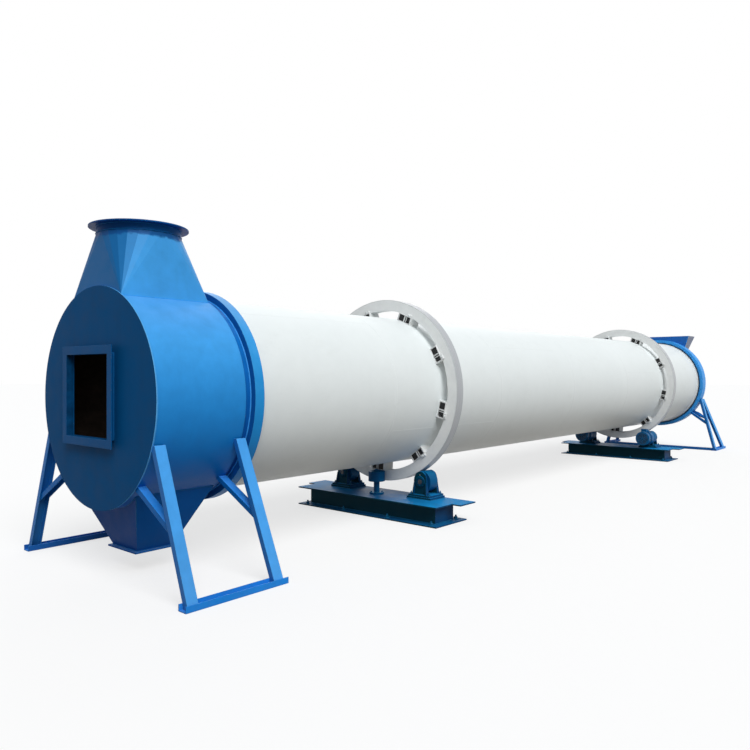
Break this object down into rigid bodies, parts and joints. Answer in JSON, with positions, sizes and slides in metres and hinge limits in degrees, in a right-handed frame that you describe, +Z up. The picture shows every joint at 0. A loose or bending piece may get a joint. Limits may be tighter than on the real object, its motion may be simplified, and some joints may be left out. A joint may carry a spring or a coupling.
{
  "type": "rotary drum dryer",
  "caption": "Long rotary drum on roller stations with a friction drive, a square-to-round hood and hopper at one end and a feed hood with a chute at the other.",
  "frame": {"origin": "middle of the footprint, on the floor", "axes": "+X along the drum from the discharge hood to the feed hood, +Z up, and +Y is the side to which the gas opening is offset"},
  "size_m": [12.14, 2.269, 2.495],
  "materials": {
    "hood_blue": "satin paint",
    "station_blue": "satin paint",
    "drum_white": "satin paint",
    "motor_blue": "satin paint"
  },
  "bodies": {
    "frame": {"hood_front_plate": "hood_blue", "gas_opening_frame": "hood_blue", "hood_shell": "hood_blue", "hood_neck": "hood_blue", "discharge_seal_ring": "hood_blue", "exhaust_transition": "hood_blue", "exhaust_flange": "hood_blue", "discharge_hopper": "hood_blue", "outlet_flange": "hood_blue", "hood_legs": "hood_blue", "hood_braces": "hood_blue", "hood_foot_beams": "hood_blue", "feed_hood_shell": "hood_blue", "feed_hood_face": "hood_blue", "feed_hood_end_plate": "hood_blue", "feed_chute": "hood_blue", "feed_legs": "hood_blue", "feed_braces": "hood_blue", "feed_foot_beams": "hood_blue", "feed_cross_beam": "hood_blue", "discharge_station_sole": "station_blue", "discharge_station_girder": "station_blue", "discharge_station_deck": "station_blue", "discharge_station_stands": "station_blue", "feed_station_sole": "station_blue", "feed_station_girder": "station_blue", "feed_station_deck": "station_blue", "feed_station_stands": "station_blue", "thrust_roller_pin": "station_blue", "gearmotor_right": "motor_blue", "gearmotor_left": "motor_blue"},
    "drum": {"drum_shell": "drum_white", "discharge_tyre": "drum_white", "feed_tyre": "drum_white", "discharge_tyre_pads": "drum_white", "feed_tyre_pads": "drum_white"},
    "discharge_roller_right": {"discharge_roller_right": "station_blue"},
    "discharge_roller_left": {"discharge_roller_left": "station_blue"},
    "feed_roller_right": {"feed_roller_right": "station_blue"},
    "feed_roller_left": {"feed_roller_left": "station_blue"},
    "thrust_roller": {"thrust_roller": "station_blue"}
  },
  "joints": [
    {"name": "drum_spin", "type": "hinge", "parent": "frame", "child": "drum", "pos_m": [0, 0, 1.255], "axis": [1, 0, 0], "continuous": true},
    {"name": "discharge_roller_right_spin", "type": "hinge", "parent": "frame", "child": "discharge_roller_right", "pos_m": [-2.852, -0.5285, 0.35779], "axis": [1, 0, 0], "continuous": true},
    {"name": "discharge_roller_left_spin", "type": "hinge", "parent": "frame", "child": "discharge_roller_left", "pos_m": [-2.852, 0.5285, 0.35779], "axis": [1, 0, 0], "continuous": true},
    {"name": "feed_roller_right_spin", "type": "hinge", "parent": "frame", "child": "feed_roller_right", "pos_m": [3.478, -0.5285, 0.35779], "axis": [1, 0, 0], "continuous": true},
    {"name": "feed_roller_left_spin", "type": "hinge", "parent": "frame", "child": "feed_roller_left", "pos_m": [3.478, 0.5285, 0.35779], "axis": [1, 0, 0], "continuous": true},
    {"name": "thrust_roller_spin", "type": "hinge", "parent": "frame", "child": "thrust_roller", "pos_m": [-2.9898, 0, 0.37], "axis": [0, 0, 1], "continuous": true}
  ],
  "couplings": [
    {"joint": "discharge_roller_right_spin", "follows": "drum_spin", "ratio": -9.1068},
    {"joint": "discharge_roller_left_spin", "follows": "drum_spin", "ratio": -9.1068},
    {"joint": "feed_roller_right_spin", "follows": "drum_spin", "ratio": -9.1068},
    {"joint": "feed_roller_left_spin", "follows": "drum_spin", "ratio": -9.1068},
    {"joint": "thrust_roller_spin", "follows": "drum_spin", "ratio": 10.412}
  ]
}
